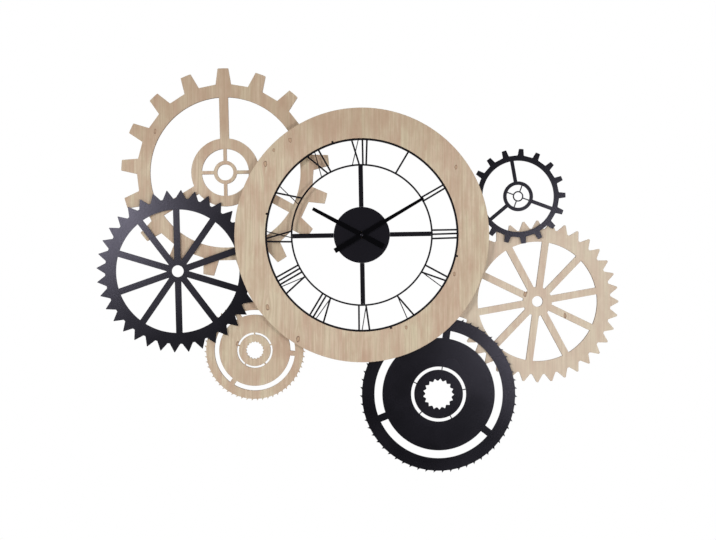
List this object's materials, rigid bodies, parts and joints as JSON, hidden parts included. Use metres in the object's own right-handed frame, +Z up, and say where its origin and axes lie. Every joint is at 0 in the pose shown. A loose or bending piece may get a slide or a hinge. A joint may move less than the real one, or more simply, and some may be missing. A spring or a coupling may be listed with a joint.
{
  "type": "wall clock",
  "caption": "Wall clock of overlapping fixed decorative gears behind a pale wooden ring, with an open black Roman dial, battery quartz movement, hands and wall hangers.",
  "frame": {"origin": "on the wall plane, midway between the entry holes of the two hanger keyholes", "axes": "+X to the right and +Z up for someone facing the clock, +Y into the wall"},
  "size_m": [1.2376, 0.046, 0.9595],
  "materials": {
    "limed_wood": "limed, matt",
    "block_wood": "sawn",
    "black_sheet": "satin",
    "black_steel": "satin",
    "hand_black": "matt",
    "zinc_steel": "zinc",
    "spring_steel": "bright",
    "rubber": "matt",
    "brass": "turned",
    "white_plastic": "moulded",
    "black_plastic": "moulded",
    "laminate": "lacquered",
    "copper_wire": "enamelled wire",
    "battery_jacket": "plain printed foil"
  },
  "bodies": {
    "frame": {"back_cover": "black_plastic", "battery_contacts": "spring_steel", "black_disc_wheel": "black_sheet", "black_spoked_wheel": "black_sheet", "centre_disc": "black_steel", "circuit_board": "laminate", "cross_bar_bottom": "black_steel", "cross_bar_left": "black_steel", "cross_bar_right": "black_steel", "cross_bar_top": "black_steel", "dial_inner_hoop": "black_steel", "dial_lugs": "black_steel", "dial_outer_hoop": "black_steel", "drive_unit": "white_plastic", "front_ring": "limed_wood", "hanger_brackets": "zinc_steel", "hanger_screws": "zinc_steel", "hex_nut": "brass", "large_wood_cog": "limed_wood", "link_blocks": "block_wood", "long_screws": "zinc_steel", "lug_screws": "zinc_steel", "motor_coil": "copper_wire", "motor_stator": "spring_steel", "movement_case": "black_plastic", "movement_gasket": "rubber", "numeral_01": "black_steel", "numeral_02": "black_steel", "numeral_03": "black_steel", "numeral_04": "black_steel", "numeral_05": "black_steel", "numeral_06": "black_steel", "numeral_07": "black_steel", "numeral_08": "black_steel", "numeral_09": "black_steel", "numeral_10": "black_steel", "numeral_11": "black_steel", "numeral_12": "black_steel", "short_screws": "zinc_steel", "short_spacer_blocks": "block_wood", "small_black_cog": "black_sheet", "tall_spacer_blocks": "block_wood", "threaded_bush": "brass", "wall_bumpers": "rubber", "washer": "brass", "wood_disc_wheel": "limed_wood", "wood_spoked_wheel": "limed_wood"},
    "minute": {"minute_arbor": "brass", "minute_hand": "hand_black", "hand_cap": "hand_black"},
    "hour": {"hour_wheel": "white_plastic", "hour_hand": "hand_black"},
    "reduction": {"reduction_wheel": "white_plastic"},
    "setting": {"setting_knob": "white_plastic"},
    "cell": {"battery": "battery_jacket"}
  },
  "joints": [
    {"name": "minute_turn", "type": "hinge", "parent": "frame", "child": "minute", "pos_m": [0, -0.035, -0.26], "axis": [0, 1, 0], "continuous": true},
    {"name": "hour_turn", "type": "hinge", "parent": "frame", "child": "hour", "pos_m": [0, -0.035, -0.26], "axis": [0, 1, 0], "continuous": true},
    {"name": "reduction_turn", "type": "hinge", "parent": "frame", "child": "reduction", "pos_m": [0.0055, -0.028, -0.25047], "axis": [0, 1, 0], "continuous": true},
    {"name": "setting_turn", "type": "hinge", "parent": "frame", "child": "setting", "pos_m": [0.0055, -0.02, -0.23947], "axis": [0, 1, 0], "continuous": true},
    {"name": "battery_out", "type": "slide", "parent": "frame", "child": "cell", "axis": [0, 1, 0], "range_m": [0, 0.015]}
  ],
  "couplings": [
    {"joint": "reduction_turn", "follows": "minute_turn", "ratio": -0.33333},
    {"joint": "hour_turn", "follows": "minute_turn", "ratio": 0.083333},
    {"joint": "setting_turn", "follows": "minute_turn", "ratio": 1}
  ]
}
